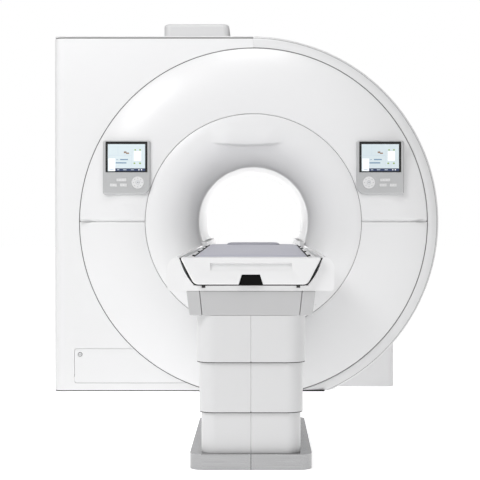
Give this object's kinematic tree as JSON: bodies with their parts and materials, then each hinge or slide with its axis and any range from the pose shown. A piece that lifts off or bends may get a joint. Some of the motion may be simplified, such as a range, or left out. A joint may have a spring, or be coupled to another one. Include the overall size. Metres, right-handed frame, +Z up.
{
  "type": "mri scanner",
  "caption": "Closed-bore magnetic resonance scanner with a round gantry, side control panels and a lifting patient table.",
  "frame": {"origin": "floor point straight below the middle of the bore axis, on the underside of the gantry's floor frame", "axes": "+Y from the patient table through the bore to the rear, +X to the right seen from the table's foot end, +Z up"},
  "size_m": [2.2729, 4.3706, 2.276],
  "materials": {
    "cover_white": "glossy painted moulding",
    "liner_white": "satin",
    "vessel_metal": "satin",
    "coil_resin": "cast resin",
    "frame_paint": "matt paint",
    "lock_metal": "satin",
    "housing_silver": "satin silver paint",
    "display_glass": "clear, over a lit display",
    "key_white": "satin",
    "button_grey": "satin",
    "base_metal": "brushed",
    "column_grey": "satin light grey",
    "tube_steel": "drawn",
    "motor_paint": "matt",
    "table_white": "glossy painted moulding",
    "glide_plastic": "slippery",
    "pad_vinyl": "soft grained vinyl",
    "handle_black": "satin",
    "belt_rubber": "matt"
  },
  "bodies": {
    "root": {"magnet_vessel": "vessel_metal", "gradient_coil": "coil_resin", "body_coil": "coil_resin", "bore_liner": "liner_white", "coil_mounts": "coil_resin", "cold_head": "vessel_metal", "floor_frame": "frame_paint", "magnet_feet": "frame_paint", "face_ring_upper": "cover_white", "face_ring_lower": "cover_white", "entry_funnel": "cover_white", "rear_funnel": "cover_white", "rim_band": "cover_white", "right_side_cover": "cover_white", "right_skirt": "cover_white", "left_side_cover": "cover_white", "top_deck": "cover_white", "left_front_panel": "cover_white", "service_hatch": "cover_white", "rear_cover": "cover_white", "turret_cover": "cover_white", "bore_bridge": "liner_white", "panel_housing_left": "housing_silver", "panel_housing_right": "housing_silver", "panel_screen_left": "display_glass", "panel_screen_right": "display_glass", "table_base": "base_metal", "column_cover_lower": "column_grey", "lift_tube_outer": "tube_steel", "lift_motor": "motor_paint"},
    "hatch_lock": {"hatch_lock": "lock_metal"},
    "lift_middle": {"column_cover_middle": "column_grey", "lift_tube_middle": "tube_steel"},
    "table_top": {"column_cover_upper": "column_grey", "lift_tube_inner": "tube_steel", "neck_cover": "column_grey", "table_frame": "frame_paint", "table_side_left": "table_white", "table_side_right": "table_white", "foot_fascia": "table_white", "glide_rails": "glide_plastic", "drive_belt": "belt_rubber", "drive_motor": "motor_paint"},
    "lift_screw": {"lift_screw": "lock_metal"},
    "cradle": {"cradle": "table_white", "cradle_pad": "pad_vinyl", "foot_cap": "table_white"},
    "release_handle": {"release_handle": "handle_black"},
    "drive_pulley": {"drive_pulley": "lock_metal"},
    "idler_pulley": {"idler_pulley": "lock_metal"},
    "wide_key_left": {"wide_key_left": "key_white"},
    "inner_key_left": {"inner_key_left": "key_white"},
    "outer_key_left": {"outer_key_left": "key_white"},
    "jog_pad_left": {"jog_pad_left": "key_white"},
    "start_button_left": {"start_button_left": "button_grey"},
    "wide_key_right": {"wide_key_right": "key_white"},
    "inner_key_right": {"inner_key_right": "key_white"},
    "outer_key_right": {"outer_key_right": "key_white"},
    "jog_pad_right": {"jog_pad_right": "key_white"},
    "start_button_right": {"start_button_right": "button_grey"}
  },
  "joints": [
    {"name": "table_lift", "type": "slide", "parent": "root", "child": "table_top", "axis": [0, 0, 1], "range_m": [-0.3, 0]},
    {"name": "middle_stage", "type": "slide", "parent": "root", "child": "lift_middle", "axis": [0, 0, 1], "range_m": [-0.15, 0]},
    {"name": "screw_turn", "type": "hinge", "parent": "root", "child": "lift_screw", "pos_m": [0, -2.97, 0.1], "axis": [0, 0, 1], "range_deg": [-10800, 0]},
    {"name": "cradle_slide", "type": "slide", "parent": "table_top", "child": "cradle", "axis": [0, 1, 0], "range_m": [0, 1.75]},
    {"name": "drive_turn", "type": "hinge", "parent": "table_top", "child": "drive_pulley", "pos_m": [0, -3.3, 0.747], "axis": [0, 0, 1], "range_deg": [0, 3343]},
    {"name": "idler_turn", "type": "hinge", "parent": "table_top", "child": "idler_pulley", "pos_m": [0, -1.05, 0.747], "axis": [0, 0, 1], "range_deg": [0, 3343]},
    {"name": "handle_pull", "type": "hinge", "parent": "cradle", "child": "release_handle", "pos_m": [0, -3.508, 0.7894], "axis": [-1, 0, 0], "range_deg": [0, 20], "stiffness_Nm_per_rad": 1, "springref_deg": -11.46},
    {"name": "lock_turn", "type": "hinge", "parent": "root", "child": "hatch_lock", "pos_m": [-1.023, -0.85, 0.218], "axis": [0, 1, 0], "range_deg": [0, 90]},
    {"name": "wide_key_left_press", "type": "slide", "parent": "root", "child": "wide_key_left", "axis": [0, 1, 0], "range_m": [0, 0.0015], "stiffness_N_per_m": 600, "springref_m": -0.0005},
    {"name": "inner_key_left_press", "type": "slide", "parent": "root", "child": "inner_key_left", "axis": [0, 1, 0], "range_m": [0, 0.0015], "stiffness_N_per_m": 600, "springref_m": -0.0005},
    {"name": "outer_key_left_press", "type": "slide", "parent": "root", "child": "outer_key_left", "axis": [0, 1, 0], "range_m": [0, 0.0015], "stiffness_N_per_m": 600, "springref_m": -0.0005},
    {"name": "jog_pad_left_press", "type": "slide", "parent": "root", "child": "jog_pad_left", "axis": [0, 1, 0], "range_m": [0, 0.0015], "stiffness_N_per_m": 600, "springref_m": -0.0005},
    {"name": "start_button_left_press", "type": "slide", "parent": "root", "child": "start_button_left", "axis": [0, 1, 0], "range_m": [0, 0.0015], "stiffness_N_per_m": 600, "springref_m": -0.0005},
    {"name": "wide_key_right_press", "type": "slide", "parent": "root", "child": "wide_key_right", "axis": [0, 1, 0], "range_m": [0, 0.0015], "stiffness_N_per_m": 600, "springref_m": -0.0005},
    {"name": "inner_key_right_press", "type": "slide", "parent": "root", "child": "inner_key_right", "axis": [0, 1, 0], "range_m": [0, 0.0015], "stiffness_N_per_m": 600, "springref_m": -0.0005},
    {"name": "outer_key_right_press", "type": "slide", "parent": "root", "child": "outer_key_right", "axis": [0, 1, 0], "range_m": [0, 0.0015], "stiffness_N_per_m": 600, "springref_m": -0.0005},
    {"name": "jog_pad_right_press", "type": "slide", "parent": "root", "child": "jog_pad_right", "axis": [0, 1, 0], "range_m": [0, 0.0015], "stiffness_N_per_m": 600, "springref_m": -0.0005},
    {"name": "start_button_right_press", "type": "slide", "parent": "root", "child": "start_button_right", "axis": [0, 1, 0], "range_m": [0, 0.0015], "stiffness_N_per_m": 600, "springref_m": -0.0005}
  ],
  "couplings": [
    {"joint": "middle_stage", "follows": "table_lift", "ratio": 0.5},
    {"joint": "screw_turn", "follows": "table_lift", "rad_per_m": 628.3},
    {"joint": "drive_turn", "follows": "cradle_slide", "rad_per_m": 33.333},
    {"joint": "idler_turn", "follows": "cradle_slide", "rad_per_m": 33.333}
  ]
}
